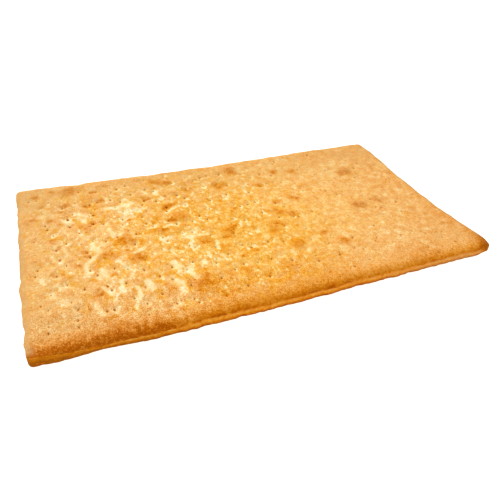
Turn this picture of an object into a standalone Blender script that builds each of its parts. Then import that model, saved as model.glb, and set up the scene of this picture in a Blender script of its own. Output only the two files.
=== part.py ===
"""Rectangular pizza base: one par-baked, docked and blistered sheet of bread.

Metres, +Z up, +X along the length. The flat underside lies on z = 0, with the
origin at its middle.

The crust between the edges is a grid whose points follow crust_height(). The
edge is that grid's border extruded ring by ring: the shoulder rolls over to a
crease, and below it a band stands upright where the dough leant on its tin.
"""

import math
import random

import bmesh
import bpy
from mathutils import Matrix, Vector, noise
from mathutils.kdtree import KDTree

# Sheet
LENGTH = 0.530
WIDTH = 0.300
THICKNESS = 0.0145  # underside to the crust between the blisters
SWELLS = ((0.0010, 0.110), (0.0005, 0.017))  # rise and fall of the crust: how much, how far apart
CRUST_CELLS = (68, 37)

# Edge, from the crust down to the underside
SHOULDER_RUN = 0.012  # from the side to where the crust starts to roll over
SHOULDER_ANGLES = (45, 80)  # degrees round the roll
CREASE_HEIGHT = 0.008
CREASE_DEPTH = 0.0014  # how far the crease is cut in under the shoulder
CREASE_WANDER = 0.0012
LEDGE_DROP = 0.0014  # from the crease down to the band's upper edge
FOOT_HEIGHT = 0.0020
FOOT_INSET = 0.0016
# At the near left corner the crease climbs nearly to the crust
CORNER_CLIMB = 0.0045
CORNER_CLIMB_SPAN = 0.055

# Outline: how far each side bows, over what wavelength, and where it is furthest out
FRONT_BOW = (0.0016, 0.60, -0.06)
BACK_BOW = (0.0030, 0.48, 0.23)
LEFT_BOW = (0.0005, 0.24, 0.03)
RIGHT_BOW = (0.0022, 0.25, -0.125)
# The right side swells most just before the near right corner
SWELL_OUT = 0.0050
SWELL_AT = -0.126
SWELL_SPAN = 0.028
RIPPLE = 0.0011  # short waves along every side
RIPPLE_SPAN = 0.022
CORNER_SPLAY = (1.0, 0.36, 0.06)  # sideways push of the corner point and its next two

# Docker: a spiked roller that crossed the dough twice, at two angles
PIN_SPACING = 0.0285
PIN_PASSES = ((7, 0.004), (-12, 0.015))  # degrees, and shift along the row
PIN_JITTER = 0.0055
PIN_GAP = 0.0045  # pins nearer to one another than this are one hole
PIN_SEED = 11
DIMPLE_RADIUS = 0.0085
DIMPLE_DEPTH = 0.0011
FUNNEL_INSET = 0.0018
FUNNEL_DEPTH = 0.0006
HOLE_INSET = 0.0012
HOLE_DEPTH = 0.0034
OPEN_CENTRE = (-0.125, 0.0)  # most holes stayed open round here, and baked shut further off
OPEN_REACH = (0.235, 0.19)
OPEN_LEAST = 0.2  # share of the holes that stayed open far off
OPEN_SEED = 3

# The largest blisters: x, y and radius, in millimetres
MAIN_BLISTERS = (
    (26, 127, 13), (189, 71, 18), (-84, 54, 12), (-76, 28, 16), (-102, 7, 12), (-152, -2, 16),
    (-142, -38, 15), (-178, -23, 14), (-60, -26, 12), (-28, -24, 13), (32, -28, 14),
    (161, -19, 17), (191, -13, 13), (-86, -98, 24), (41, -70, 13), (97, -83, 12),
)
BLISTER_RISE = 0.09  # height as a share of the radius
BLISTER_TALLEST = 0.0015
SMALL_BLISTERS = 150
SMALL_BLISTER_RADII = (0.004, 0.009)
BLISTER_SEED = 5

CRUST_COLOUR = (0.80, 0.45, 0.14)
CRUST_ROUGHNESS = 0.75
MM = 0.001


def bump(share):
    """A smooth hump: 1 at its middle, 0 from share 1 outwards."""
    return (1 - share * share) ** 2 if share < 1 else 0.0


def inside_plateau(point, margin=0.0):
    half_length = LENGTH / 2 - SHOULDER_RUN - margin
    half_width = WIDTH / 2 - SHOULDER_RUN - margin
    return abs(point.x) < half_length and abs(point.y) < half_width


def docker_pins():
    """Where the docker's spikes went in, over both passes."""
    draw = random.Random(PIN_SEED)
    steps = math.ceil(LENGTH / PIN_SPACING)
    pins = []
    for angle, shift in PIN_PASSES:
        turn = Matrix.Rotation(math.radians(angle), 2)
        for column in range(-steps, steps + 1):
            for row in range(-steps, steps + 1):
                pin = turn @ Vector((column * PIN_SPACING + shift, row * PIN_SPACING))
                pin += PIN_JITTER * Vector((draw.uniform(-1, 1), draw.uniform(-1, 1)))
                apart = all((pin - other).length > PIN_GAP for other in pins)
                if apart and inside_plateau(pin, margin=FUNNEL_INSET):
                    pins.append(pin)
    return pins


def openness(point):
    """The share of the docker's holes near a point that stayed open."""
    x = (point.x - OPEN_CENTRE[0]) / OPEN_REACH[0]
    y = (point.y - OPEN_CENTRE[1]) / OPEN_REACH[1]
    return OPEN_LEAST + (1 - OPEN_LEAST) * math.exp(-(x**4 + y**4))


def open_pins(pins):
    """The pins whose holes stayed open."""
    draw = random.Random(OPEN_SEED)
    return [pin for pin in pins if draw.random() < openness(pin)]


def blisters():
    """(middle, radius, height) of every bubble in the crust."""
    draw = random.Random(BLISTER_SEED)
    found = [(Vector((x, y)) * MM, r * MM) for x, y, r in MAIN_BLISTERS]
    while len(found) < len(MAIN_BLISTERS) + SMALL_BLISTERS:
        middle = Vector((draw.uniform(-0.5, 0.5) * LENGTH, draw.uniform(-0.5, 0.5) * WIDTH))
        found.append((middle, draw.uniform(*SMALL_BLISTER_RADII)))
    return [(middle, r, min(r * BLISTER_RISE, BLISTER_TALLEST)) for middle, r in found]


def tree_of(points):
    tree = KDTree(len(points))
    for i, point in enumerate(points):
        tree.insert((point.x, point.y, 0), i)
    tree.balance()
    return tree


def crust_height(point, pin_tree, bubbles):
    """Height of the crust above the underside at a point of the plateau."""
    height = THICKNESS
    for rise, span in SWELLS:
        height += rise * noise.noise(Vector((point.x, point.y, 0)) / span)
    height += max(rise * bump((point - middle).length / radius) for middle, radius, rise in bubbles)
    distance = pin_tree.find((point.x, point.y, 0))[2]
    return height - DIMPLE_DEPTH * openness(point) * bump(distance / DIMPLE_RADIUS)


def bowed(x, y):
    """A point of the straight-sided sheet, moved as its four sides bow."""
    def bow(side, along):
        out, wavelength, furthest = side
        return out * math.cos(math.tau * (along - furthest) / wavelength)

    across = 2 * x / LENGTH
    up = 2 * y / WIDTH
    right = bow(RIGHT_BOW, y) + SWELL_OUT * math.exp(-(((y - SWELL_AT) / SWELL_SPAN) ** 2))
    dx = right * max(across, 0) ** 4 - bow(LEFT_BOW, y) * max(-across, 0) ** 4
    dy = bow(BACK_BOW, x) * max(up, 0) ** 4 - bow(FRONT_BOW, x) * max(-up, 0) ** 4
    return x + dx, y + dy


def crease_height(foot):
    """Height of the crease beside a point of the plateau's border."""
    wander = CREASE_WANDER * noise.noise(Vector((foot.x, foot.y, 0.3)) / 0.06)
    corner = Vector((-LENGTH / 2, -WIDTH / 2))
    near_corner = math.exp(-(((foot.xy - corner).length / CORNER_CLIMB_SPAN) ** 2))
    return CREASE_HEIGHT + wander + CORNER_CLIMB * near_corner


def edge_profile(top, crease):
    """(how far out, height) of each ring down the edge, from the crust to the underside."""
    profile = []
    for angle in map(math.radians, SHOULDER_ANGLES):
        profile.append((SHOULDER_RUN * math.sin(angle), crease + (top - crease) * math.cos(angle)))
    profile.append((SHOULDER_RUN - CREASE_DEPTH, crease))
    profile.append((SHOULDER_RUN, crease - LEDGE_DROP))
    profile.append((SHOULDER_RUN, FOOT_HEIGHT))
    profile.append((SHOULDER_RUN - FOOT_INSET, 0.0))
    return profile


def add_plateau(mesh, pin_tree, bubbles):
    """The crust inside the shoulder: a flat grid, with the height of each point put on."""
    bmesh.ops.create_grid(mesh, x_segments=CRUST_CELLS[0], y_segments=CRUST_CELLS[1], size=0.5)
    plateau = (LENGTH - 2 * SHOULDER_RUN, WIDTH - 2 * SHOULDER_RUN)
    for vert in mesh.verts:
        vert.co.x *= plateau[0]
        vert.co.y *= plateau[1]
        vert.co.z = crust_height(vert.co.xy, pin_tree, bubbles)


def press_pins(mesh, pins):
    """The docker's open holes: a funnel in the crust's cell under each pin, and a hole in that."""
    cells = list(mesh.faces)
    cell_tree = tree_of([cell.calc_center_median() for cell in cells])
    pressed = {}
    for pin in pins:
        pressed.setdefault(cell_tree.find((pin.x, pin.y, 0))[1], pin)
    funnels = [cells[i] for i in pressed]
    bmesh.ops.inset_individual(
        mesh, faces=funnels, thickness=FUNNEL_INSET, depth=-FUNNEL_DEPTH, use_even_offset=True)
    for cell, pin in zip(funnels, pressed.values()):
        shift = (pin - cell.calc_center_median().xy) / 3
        for vert in cell.verts:
            vert.co.xy += shift
    bmesh.ops.inset_individual(
        mesh, faces=funnels, thickness=HOLE_INSET, depth=-HOLE_DEPTH, use_even_offset=True)


def outward_at(foot):
    """The way out of the sheet from a point of the plateau's border, splayed round the corners."""
    half = Vector((LENGTH / 2 - SHOULDER_RUN, WIDTH / 2 - SHOULDER_RUN))
    cell = Vector((2 * half.x / CRUST_CELLS[0], 2 * half.y / CRUST_CELLS[1]))
    steps = [round((half[i] - abs(foot[i])) / cell[i]) for i in (0, 1)]
    out = Vector((0.0, 0.0, 0.0))
    for i in (0, 1):
        share = CORNER_SPLAY[steps[i]] if steps[i] < len(CORNER_SPLAY) else 0.0
        out[i] = math.copysign(share, foot[i])
    if steps[0] == steps[1] == 0:
        out *= 0.78  # rounds the corner itself
    return out


def extrude_edge(mesh):
    """The shoulder, crease, band and foot, and the flat underside that closes them."""
    foot_layer = mesh.verts.layers.float_vector.new("foot")
    out_layer = mesh.verts.layers.float_vector.new("outward")
    border = [edge for edge in mesh.edges if edge.is_boundary]
    for vert in {vert for edge in border for vert in edge.verts}:
        vert[foot_layer] = vert.co
        vert[out_layer] = outward_at(vert.co)
    for ring in range(len(edge_profile(THICKNESS, CREASE_HEIGHT))):
        made = bmesh.ops.extrude_edge_only(mesh, edges=border)["geom"]
        border = [item for item in made if isinstance(item, bmesh.types.BMEdge)]
        for vert in (item for item in made if isinstance(item, bmesh.types.BMVert)):
            foot = vert[foot_layer]
            out, height = edge_profile(foot.z, crease_height(foot))[ring]
            waver = RIPPLE * noise.noise(Vector((foot.x, foot.y, 0.6)) / RIPPLE_SPAN)
            share = out / SHOULDER_RUN
            vert.co = foot + vert[out_layer] * (out + waver * share)
            vert.co.z = height
        border = [edge for edge in border if edge.is_boundary]
    bmesh.ops.edgeloop_fill(mesh, edges=border)


def settle(mesh):
    """Bows the sides, then puts the middle of the underside at the origin."""
    for vert in mesh.verts:
        vert.co.x, vert.co.y = bowed(vert.co.x, vert.co.y)
    for i in (0, 1):
        reach = [vert.co[i] for vert in mesh.verts]
        middle = (min(reach) + max(reach)) / 2
        for vert in mesh.verts:
            vert.co[i] -= middle


def crust_material():
    material = bpy.data.materials.new("baked_crust")
    material.use_nodes = True
    shader = material.node_tree.nodes["Principled BSDF"]
    shader.inputs["Base Color"].default_value = (*CRUST_COLOUR, 1)
    shader.inputs["Roughness"].default_value = CRUST_ROUGHNESS
    shader.inputs["Metallic"].default_value = 0.0
    return material


def make_base(collection):
    pins = docker_pins()
    mesh = bmesh.new()
    add_plateau(mesh, tree_of(pins), blisters())
    press_pins(mesh, open_pins(pins))
    extrude_edge(mesh)
    settle(mesh)
    bmesh.ops.recalc_face_normals(mesh, faces=mesh.faces)
    data = bpy.data.meshes.new("pizza_base")
    mesh.to_mesh(data)
    mesh.free()
    data.materials.append(crust_material())
    data.shade_smooth()
    data.set_sharp_from_angle(angle=math.radians(50))
    base = bpy.data.objects.new("pizza_base", data)
    collection.objects.link(base)
    return base


def main():
    for old in list(bpy.data.objects):
        bpy.data.objects.remove(old)
    collection = bpy.data.collections.new("pizza_base")
    bpy.context.scene.collection.children.link(collection)
    make_base(collection)


main()
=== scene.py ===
import math
import random

import bpy
import numpy as np
from mathutils import Matrix, Vector, noise
from mathutils.geometry import delaunay_2d_cdt


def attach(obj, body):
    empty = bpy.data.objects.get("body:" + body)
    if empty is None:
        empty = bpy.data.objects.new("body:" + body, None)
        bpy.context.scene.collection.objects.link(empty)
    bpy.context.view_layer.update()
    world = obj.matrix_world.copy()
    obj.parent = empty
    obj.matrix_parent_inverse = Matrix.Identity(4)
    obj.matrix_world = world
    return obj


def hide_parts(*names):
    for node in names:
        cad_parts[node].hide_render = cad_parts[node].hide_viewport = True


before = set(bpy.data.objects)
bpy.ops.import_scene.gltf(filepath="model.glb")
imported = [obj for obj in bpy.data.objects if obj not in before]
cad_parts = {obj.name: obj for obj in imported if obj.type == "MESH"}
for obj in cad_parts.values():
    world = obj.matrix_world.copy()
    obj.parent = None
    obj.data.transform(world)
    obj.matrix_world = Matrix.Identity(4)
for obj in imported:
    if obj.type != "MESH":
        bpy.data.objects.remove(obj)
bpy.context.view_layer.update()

mm = 0.001
whole = 2 * math.pi

# Lengths are in metres unless a note says otherwise. X runs along the sheet to the right, Y from its near
# side to the far one. An amount that changes over the sheet is written (from, to, before, after): it is
# the third number up to the first place and the fourth past the second.

# The bread before its sides bow: straight sides and rounded corners
sheet = {
    "length": 0.530,
    "width": 0.300,
    "thickness": 0.0145,
    "cornerRadius": 0.006,
    "swells": ((0.0010, 0.110), (0.0005, 0.017)),  # how high, how far apart
}
halfLength = sheet["length"] / 2
halfWidth = sheet["width"] / 2


def noiseAt(places, span, lift=0.0):  # smooth noise, about -1..1, at each plan point; lift picks which one
    return np.array([noise.noise(Vector((x, y, lift)) / span) for x, y in places])


def hump(share):  # 1 in the middle, 0 from share 1 outwards
    return np.where(share < 1, (1 - np.minimum(share, 1) ** 2) ** 2, 0.0)


def ramp(value, low, high):  # 0 below low, 1 above high, smooth between
    t = np.clip((value - low) / (high - low), 0, 1)
    return t * t * (3 - 2 * t)


def blend(first, last, share):
    return first + (last - first) * share


def changing(value, start, end, before, after):
    return blend(before, after, ramp(value, start, end))


# 1 along the near side; it starts over near (in -y), begins over west and ends over east (in x)
def frontPatch(places, near, east, west=(-1.0, -0.9)):
    x, y = places.T
    return ramp(-y, *near) * ramp(x, *west) * (1 - ramp(x, *east))


def anywhere(draw):  # a random place on the sheet
    return draw.uniform(-0.5, 0.5) * sheet["length"], draw.uniform(-0.5, 0.5) * sheet["width"]


def withinOval(places, x, y, wide, tall):  # the places round an oval, and how far out each lies
    near = np.nonzero((np.abs(places[:, 0] - x) < wide) & (np.abs(places[:, 1] - y) < tall))[0]
    return near, np.hypot((places[near, 0] - x) / wide, (places[near, 1] - y) / tall)


# The docker: a spiked roller that crossed the dough twice
docker = {
    "spacing": 0.0285,
    "passes": ((7, 0.004), (-12, 0.015)),  # degrees, and shift along the row
    "jitter": 0.0055,
    "gap": 0.0045,  # two spikes are at least this far apart
    "seed": 11,
    "openSeed": 3,
    "openCentre": (-0.125, 0.0),
    "openReach": (0.235, 0.19),
    "openLeast": 0.2,
    "dimpleRadius": 0.0085,
    "dimpleDepth": 0.0010,
    "margin": 0.0018,
    "edgeRun": 0.012,  # the plateau that the spikes reach ends this far inside the sides
}


def openShare(x, y):  # how many of the spikes' holes stayed open
    u = (x - docker["openCentre"][0]) / docker["openReach"][0]
    v = (y - docker["openCentre"][1]) / docker["openReach"][1]
    return blend(docker["openLeast"], 1, np.exp(-(u**4 + v**4)))


def dockerPins():
    draw = random.Random(docker["seed"])
    spacing = docker["spacing"]
    steps = math.ceil(sheet["length"] / spacing)
    rim = docker["edgeRun"] + docker["margin"]
    found = []
    for angle, shift in docker["passes"]:
        turn = Matrix.Rotation(math.radians(angle), 2)
        for column in range(-steps, steps + 1):
            for row in range(-steps, steps + 1):
                pin = turn @ Vector((column * spacing + shift, row * spacing))
                pin += docker["jitter"] * Vector((draw.uniform(-1, 1), draw.uniform(-1, 1)))
                apart = all((pin - other).length > docker["gap"] for other in found)
                if apart and abs(pin.x) < halfLength - rim and abs(pin.y) < halfWidth - rim:
                    found.append(pin)
    return found


pins = dockerPins()
openDraw = random.Random(docker["openSeed"])
pinOpen = np.array([openDraw.random() < openShare(pin.x, pin.y) for pin in pins])
print("docker pins:", len(pins), "open:", pinOpen.sum())

# Blisters: x, y and radius in millimetres for the browned ones that show; the rest are drawn
blisterLook = {
    "main": (
        (26, 127, 13), (189, 71, 18), (-84, 54, 12), (-76, 28, 16), (-102, 7, 12), (-152, -2, 16),
        (-142, -38, 15), (-178, -23, 14), (-60, -26, 12), (-28, -24, 13), (32, -28, 14),
        (161, -19, 17), (191, -13, 13), (-86, -98, 24), (41, -70, 13), (97, -83, 12),
    ),
    "rise": 0.09,
    "tallest": 0.0013,
    "brownRadius": 0.012,  # from this radius on they are fully browned
    "brownFade": (0.15, 1.1),  # shares of the radius
    "smallCount": 150,
    "smallRadii": (0.004, 0.009),
    "seed": 5,
}


def blisterList():
    draw = random.Random(blisterLook["seed"])
    found = [(x * mm, y * mm, r * mm) for x, y, r in blisterLook["main"]]
    for _ in range(blisterLook["smallCount"]):
        found.append((*anywhere(draw), draw.uniform(*blisterLook["smallRadii"])))
    return found


def blisterFields(places):  # how far each point is lifted, and how much its blister browned
    lift = np.zeros(len(places))
    browned = np.zeros(len(places))
    for x, y, radius in blisterList():
        share = np.hypot(places[:, 0] - x, places[:, 1] - y) / radius
        rise = min(radius * blisterLook["rise"], blisterLook["tallest"])
        strength = min(radius / blisterLook["brownRadius"], 1) ** 2
        lift = np.maximum(lift, rise * hump(share))
        browned = np.maximum(browned, strength * (1 - ramp(share, *blisterLook["brownFade"])))
    return lift, browned


# The edge: rolled shoulder, crease, proud band, ragged foot
edge = {
    "shoulderRun": 0.012,
    "shoulderAngles": (25, 35, 45, 54, 62, 69, 75, 80),  # degrees round the roll, a ring at each
    "creaseHeight": (-0.160, -0.100, 0.0080, 0.0096),  # over x
    "creaseDepth": 0.0014,
    "creaseWander": ((0.0012, 0.060, 0.3), (0.0008, 0.013, 0.9)),  # how far, what span, which noise
    "cornerClimb": 0.0056,
    "cornerClimbSpan": 0.046,
    "creaseSteps": ((0.30, 0.05), (0.75, 0.012), (1.0, 0.0)),  # how far in, and how far up to the crust
    "ledgeDrop": 0.0014,
    "ledgeSteps": ((0.55, 0.30), (0.12, 0.75)),
    "bandRows": 5,
    "footHeight": 0.0027,
    "footInset": 0.0023,
    "footSteps": ((0.18, 0.45), (0.55, 0.14), (1.0, 0.0)),
    "notches": ((-0.196, 0.026, 0.0015), (0.264, 0.018, 0.0019)),  # in the near foot: x, span, how far up
    "ripple": 0.0015,
    "rippleSpan": 0.016,
    "ragged": 0.0008,
    "raggedSpan": 0.0065,
    "wear": (0.9, 1.1),  # how far the foot is worn up, quickly and slowly, as shares of how ragged it is
    "wearSpan": 0.014,
    "step": 0.0020,  # between points along a side
    "cornerSteps": 9,
    "leastRadius": 0.0008,  # the inner rings' corners stay at least this round
}

# How far each side bows, over what wavelength, and where it is furthest out
bows = {
    "front": (0.0016, 0.60, -0.06),
    "back": (0.0030, 0.48, 0.23),
    "left": (0.0005, 0.24, 0.03),
    "right": (0.0022, 0.25, -0.125),
    "rightWider": (-0.120, -0.060, 0, 0.0010),  # over y
    "inward": 4,  # the higher, the sooner a bow dies away inwards
    "settle": (0.0033, 0.0007),  # from the straight sheet's middle to the middle of the bowed one
}

# Single bumps and dents of the sides: where along the side, how far out, over what span
waves = {
    "front": (),
    "back": (
        (-0.186, -0.0026, 0.009), (-0.090, -0.0010, 0.014), (0.012, -0.0010, 0.020), (0.105, 0.0014, 0.014),
    ),
    "left": ((-0.055, 0.0018, 0.030),),
    "right": (
        (-0.126, 0.0050, 0.028), (0.018, 0.0013, 0.013), (0.095, 0.0009, 0.020), (-0.112, 0.0010, 0.011),
        (-0.134, 0.0014, 0.011), (-0.055, -0.0006, 0.013),
    ),
}


def sideOut(side, along):  # how far a side stands out at each place along it
    out, wavelength, furthest = bows[side]
    result = out * np.cos(whole * (along - furthest) / wavelength)
    for middle, out, span in waves[side]:
        result = result + out * np.exp(-(((along - middle) / span) ** 2))
    return result


def bowed(places):
    def share(along):  # how much a side's bow still shows, from 1 at the side to 0 in the middle
        return np.maximum(along, 0) ** bows["inward"]

    x, y = places.T
    right = sideOut("right", y) + changing(y, *bows["rightWider"])
    dx = right * share(x / halfLength) - sideOut("left", y) * share(-x / halfLength)
    dy = sideOut("back", x) * share(y / halfWidth) - sideOut("front", x) * share(-y / halfWidth)
    return np.stack([x + dx - bows["settle"][0], y + dy - bows["settle"][1]], 1)


def insideBy(places):  # how far inside the rounded outline each plan point lies
    radius = sheet["cornerRadius"]
    qx = np.abs(places[:, 0]) - halfLength + radius
    qy = np.abs(places[:, 1]) - halfWidth + radius
    corner = np.hypot(np.maximum(qx, 0), np.maximum(qy, 0))
    return radius - corner - np.minimum(np.maximum(qx, qy), 0)


def footOf(places):  # the nearest point of the plateau that the shoulder rolls off
    reach = np.array([halfLength - edge["shoulderRun"], halfWidth - edge["shoulderRun"]])
    return np.clip(places, -reach, reach)


def creaseHeight(places):
    foot = footOf(places)
    height = changing(foot[:, 0], *edge["creaseHeight"])
    for far, span, lift in edge["creaseWander"]:
        height += far * noiseAt(foot, span, lift)
    away = np.hypot(foot[:, 0] + halfLength, foot[:, 1] + halfWidth)
    return height + edge["cornerClimb"] * np.exp(-((away / edge["cornerClimbSpan"]) ** 2))


def nearestPin(places, stretch=1.0):  # distance to the nearest spike, and which one it is
    nearest = np.full(len(places), np.inf)
    which = np.zeros(len(places), int)
    for i, pin in enumerate(pins):
        away = np.hypot(places[:, 0] - pin.x, (places[:, 1] - pin.y) / stretch)
        closer = away < nearest
        nearest[closer] = away[closer]
        which[closer] = i
    return nearest, which


# How far the crust puffed up between the docker's holes, over x and over y
puff = (
    ((-0.256, -0.222, 0.50, 1), (-0.060, 0.120, 1, 0.28)),
    ((-0.142, -0.122, 0.40, 1), (0.092, 0.138, 1, 0.50)),
)


def puffed(places):
    share = np.ones(len(places))
    for along, changes in zip(places.T, puff):
        for change in changes:
            share *= changing(along, *change)
    return share


valley = {  # pale creases in the puffed crust, each from one hole to a neighbour
    "longest": 0.030,
    "width": (-0.080, 0.040, 0.0040, 0.0024),  # over x
    "reach": 0.0096,  # no valley shows further out than this
    "depth": 0.00060,
    "seed": 43,
    "weakness": 1.7,  # the higher, the fewer strong ones
}


def valleyList():
    draw = random.Random(valley["seed"])
    found = []
    for a in pins:
        near = [pin for pin in pins if pin is not a and (pin - a).length < valley["longest"]]
        for b in near:
            middle = (a + b) / 2
            half = (a - b).length / 2
            free = all((pin - middle).length >= half for pin in near if pin is not b)
            if free and (a.x, a.y) < (b.x, b.y):
                found.append((a, b, draw.random() ** valley["weakness"]))
    return found


def segmentDistance(places, a, b):
    along = np.array(b - a)
    offset = places - np.array(a)
    t = np.clip(offset @ along / (along @ along), 0, 1)
    return np.hypot(*(offset - t[:, None] * along).T)


def valleyField(places):  # 1 along the middle of a strong valley
    field = np.zeros(len(places))
    width = changing(places[:, 0], *valley["width"])
    for a, b, strength in valleyList():
        low = np.minimum(a, b) - valley["reach"]
        high = np.maximum(a, b) + valley["reach"]
        near = np.nonzero(((places > low) & (places < high)).all(1))[0]
        distance = segmentDistance(places[near], a, b)
        field[near] = np.maximum(field[near], strength * np.exp(-((distance / width[near]) ** 2)))
    return field


# Relief of the crust
crust = {
    "lattice": (0.00132, 0.0023),  # spacing of the crust's points where it is busy, and elsewhere
    "busy": (-0.238, 0.075, -0.128, 0.118),  # from x to x and from y to y
    "latticeJitter": 0.16,
    "latticeSeed": 21,
    "knolls": ((0.00030, 0.010), (0.00020, 0.0044)),  # how high, how far apart
    "knollsCalm": 0.35,  # their share where the crust puffed up least
    "streaks": (0.0055, 0.021, 57),  # across, along, degrees
    "streakRise": 0.00022,
    "streaksLeft": 0.15,  # their share at the left
    "streaksPuffed": 0.30,  # and where the crust puffed up most
    "wrinkles": (0.0042, 0.022, 92),
    "wrinkleRise": 0.00030,
    "wrinklePatch": ((0.100, 0.126), (-0.080, -0.020), (-0.240, -0.200)),
    "holeRadius": 0.00095,
    "holeStretch": 1.45,  # the holes are longer the short way of the sheet
    "holeDepth": 0.0026,
    "holeWall": (0.55, 1.05),  # from its floor to its rim, as shares of its radius
    "funnelRadius": 0.0026,
    "funnelDepth": 0.0002,
    "holeSides": 9,
    "holeRings": (0.55, 1.0, 1.7, 2.7),  # shares of the hole's radius
    "holeSeed": 31,
    "holeSizes": (0.55, 1.35),
    # how much painted shade each open hole gets inside, from least to most
    "holeTones": (0.35, 0.95),
    "leastGap": 0.00025,  # between two holes' points
    "holeClear": 1.2,  # the lattice keeps clear of a hole by this times its outermost ring
}
holeDraw = random.Random(crust["holeSeed"])
holeSize = np.array([holeDraw.uniform(*crust["holeSizes"]) for _ in pins])
holeTone = np.array([holeDraw.uniform(*crust["holeTones"]) for _ in pins])


def holeFields(places):  # how deep in a funnel and in its hole each point lies, and which spike's it is
    distance, which = nearestPin(places, crust["holeStretch"])
    radius = crust["holeRadius"] * holeSize[which]
    low, high = [share * radius for share in crust["holeWall"]]
    funnel = np.where(pinOpen[which], hump(distance / (crust["funnelRadius"] * holeSize[which])), 0.0)
    hole = np.where(pinOpen[which], 1 - ramp(distance, low, high), 0.0)
    return funnel, hole, which


def stretched(places, across, along, degrees, lift):  # noise drawn out along one direction
    angle = math.radians(degrees)
    u = places @ np.array([math.cos(angle), math.sin(angle)]) / along
    v = places @ np.array([-math.sin(angle), math.cos(angle)]) / across
    return noiseAt(np.stack([u, v], 1), 1.0, lift)


bubbles = {  # small domes close together; the dough in the creases between them stayed pale
    "count": 1500,
    "radii": (0.0034, 0.0088),
    "stretchFrom": (-0.120, 0.0),
    "stretch": (1.9, 1.2),  # longer the short way of the sheet, at the left and at the right
    "crease": 0.24,  # the higher, the wider the creases between them
    "foot": (0.03, 0.42),  # from crease to dome, as shares of its height
    "rise": 0.00060,
    "creaseDepth": 0.00010,
    "strengths": (0.55, 1.0),
    "seed": 61,
    "clusterSpan": 0.030,  # from a stretch with many pale creases to one with few
    "cluster": (-0.45, 0.40),
    "selectSpan": 0.010,  # from a crease that stayed pale to one that turned golden
    "select": (-0.15, 0.15),
}


def bubbleField(places):  # how far up its bubble each point lies, how near a crease, the bubble's browning
    draw = random.Random(bubbles["seed"])
    field = np.zeros(len(places))
    second = np.zeros(len(places))
    tone = np.zeros(len(places))
    for _ in range(bubbles["count"]):
        x, y = anywhere(draw)
        rx = draw.uniform(*bubbles["radii"])
        ry = rx * np.interp(x, bubbles["stretchFrom"], bubbles["stretch"])
        strength = draw.uniform(*bubbles["strengths"])
        browned = draw.uniform(-1, 1)
        near, outward = withinOval(places, x, y, rx, ry)
        share = strength * hump(outward)
        second[near] = np.maximum(second[near], np.minimum(share, field[near]))
        higher = share > field[near]
        field[near[higher]] = share[higher]
        tone[near[higher]] = browned * share[higher]
    crease = 1 - ramp(field - second, 0.0, bubbles["crease"])
    return field, crease, tone


veins = {  # long pale stretches where the dough tore a little as it rose
    "places": (  # x and y of both ends, and how wide, in millimetres
        (-186, 0, -182, -17, 5.5), (-182, -18, -197, -36, 3.5), (-197, -36, -200, -50, 3.0),
        (-165, 24, -160, 10, 4.5), (-160, 10, -150, 13, 3.5), (-183, -47, -179, -60, 3.5),
        (-166, -70, -170, -88, 2.4), (-170, -88, -179, -99, 2.2), (-154, -86, -153, -103, 2.6),
        (-153, -103, -161, -118, 2.2), (-197, -100, -193, -116, 2.8), (-187, -77, -181, -89, 2.4),
        (-109, -96, -110, -110, 5.4), (-107, -60, -104, -70, 4.6), (-94, -80, -91, -91, 5.0),
        (-141, -79, -138, -94, 3.2), (-146, -31, -131, -22, 2.6), (-165, -38, -159, -50, 3.0),
        (-150, -58, -156, -70, 2.2), (-231, -9, -229, -15, 3.0), (-218, 6, -216, -8, 2.6),
        (-199, 70, -186, 62, 4.2), (-186, 62, -190, 50, 3.2), (-160, 71, -131, 73, 5.0),
        (-126, 60, -115, 57, 4.6), (-142, 58, -132, 49, 3.0), (-156, 97, -158, 86, 2.8),
        (-135, 88, -127, 74, 2.6), (-108, 99, -104, 92, 2.6), (-92, 40, -76, 50, 3.0),
        (-101, 9, -90, 12, 3.0), (-111, -12, -98, -12, 2.6), (-80, -18, -56, -20, 3.2),
        (-51, -64, -51, -75, 2.8), (-67, -53, -66, -60, 3.2), (-66, -10, -65, -4, 2.2),
        (-229, -56, -227, -68, 2.4), (-243, -46, -241, -53, 2.4), (-215, 62, -210, 50, 2.6),
    ),
}


def veinField(places):
    field = np.zeros(len(places))
    for x1, y1, x2, y2, wide in veins["places"]:
        distance = segmentDistance(places / mm, Vector((x1, y1)), Vector((x2, y2)))
        field = np.maximum(field, np.exp(-((distance / wide) ** 2)))
    return field


spots = {  # browned places of the crust; those in the far left part are painted shade of the dimples there
    "places": (  # x, y and radius, in millimetres
        (-200, 126, 14), (-222, 131, 6), (-243, 123, 7), (-88, 121, 13), (-72, 112, 10), (-172, 118, 6),
        (-208, 93, 8), (-236, 98, 6), (-213, 81, 7), (-162, 92, 9), (-183, 84, 6), (-182, 44, 6),
        (-246, 70, 6), (-228, 63, 6), (-106, 79, 6), (-190, -85, 8), (-50, 88, 11), (-5, 87, 14),
        (50, 69, 8), (84, 98, 9), (110, 93, 10), (45, -1, 13), (84, 22, 10), (55, 22, 8),
        (-20, -12, 8), (24, -40, 8), (62, -12, 8), (-15, -66, 8), (82, -62, 8), (23, 114, 11),
        (185, 66, 14), (158, -19, 11), (191, -17, 6), (-62, -33, 8), (-34, -32, 8), (-87, 22, 8),
        (-88, 50, 8), (-232, 21, 9), (-196, -11, 5), (-206, -33, 6), (-233, -41, 6), (-95, -35, 7),
        (-222, 6, 5), (-102, 3, 4), (-141, -41, 6),
    ),
    "stretch": 1.25,  # longer along the sheet
    "fade": (0.1, 1.0),  # shares of the radius
    "far": (0.040, 0.090),  # over y: past this they get painted shade and none of the greyer tan
}


def spotField(places):
    field = np.zeros(len(places))
    for x, y, radius in spots["places"]:
        away = np.hypot((places[:, 0] / mm - x) / spots["stretch"], places[:, 1] / mm - y) / radius
        field = np.maximum(field, 1 - ramp(away, *spots["fade"]))
    return field


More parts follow.
